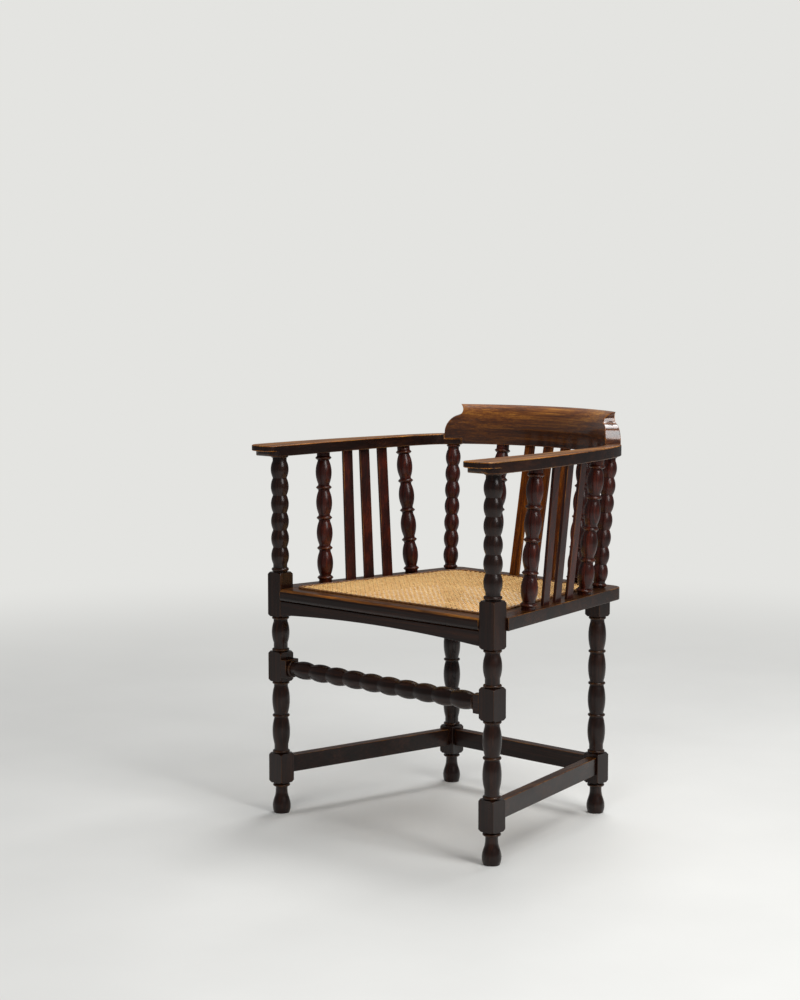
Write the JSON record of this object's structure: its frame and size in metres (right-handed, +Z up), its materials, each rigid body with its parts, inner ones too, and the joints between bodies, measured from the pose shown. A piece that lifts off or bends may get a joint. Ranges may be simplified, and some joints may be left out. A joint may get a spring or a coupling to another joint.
{
  "type": "captain's chair",
  "caption": "Low-backed armchair with bobbin-turned legs, posts and spindles, flat slats, sawn arms lapped under a bowed crest rail, and a woven cane seat.",
  "frame": {"origin": "on the floor, at the bottom centre of the chair's bounding box", "axes": "+Z up; the sitter faces -Y; +X is to the right when looking along +Y, and X = 0 is the plane of symmetry"},
  "size_m": [0.612, 0.574, 0.794],
  "materials": {
    "turned_wood": "dark red-brown stain under worn gloss polish",
    "frame_wood": "dark red-brown stain under worn gloss polish",
    "slat_wood": "amber-brown stain under gloss polish",
    "rail_wood": "dark red-brown stain, gloss polish worn golden at the edges",
    "cane": "natural rattan cane, smooth outside skin",
    "cane_binder": "rattan cane strip, stained dark with the frame"
  },
  "bodies": {
    "root": {"front_leg_left": "turned_wood", "front_leg_right": "turned_wood", "rear_leg_left": "turned_wood", "rear_leg_right": "turned_wood", "rear_post_left": "turned_wood", "rear_post_right": "turned_wood", "front_stretcher": "turned_wood", "side_spindle_front_left": "turned_wood", "side_spindle_front_right": "turned_wood", "side_spindle_rear_left": "turned_wood", "side_spindle_rear_right": "turned_wood", "back_spindle_left": "turned_wood", "back_spindle_right": "turned_wood", "side_stretcher_left": "frame_wood", "side_stretcher_right": "frame_wood", "rear_stretcher": "frame_wood", "front_apron": "frame_wood", "seat_front_board": "frame_wood", "seat_side_board_left": "frame_wood", "seat_side_board_right": "frame_wood", "seat_rear_board": "frame_wood", "side_slat_front_left": "slat_wood", "side_slat_front_right": "slat_wood", "side_slat_middle_left": "slat_wood", "side_slat_middle_right": "slat_wood", "side_slat_rear_left": "slat_wood", "side_slat_rear_right": "slat_wood", "back_slat_left": "slat_wood", "back_slat_middle": "slat_wood", "back_slat_right": "slat_wood", "arm_left": "rail_wood", "arm_right": "rail_wood", "crest": "rail_wood", "cane_panel": "cane", "cane_binder": "cane_binder"}
  },
  "joints": []
}
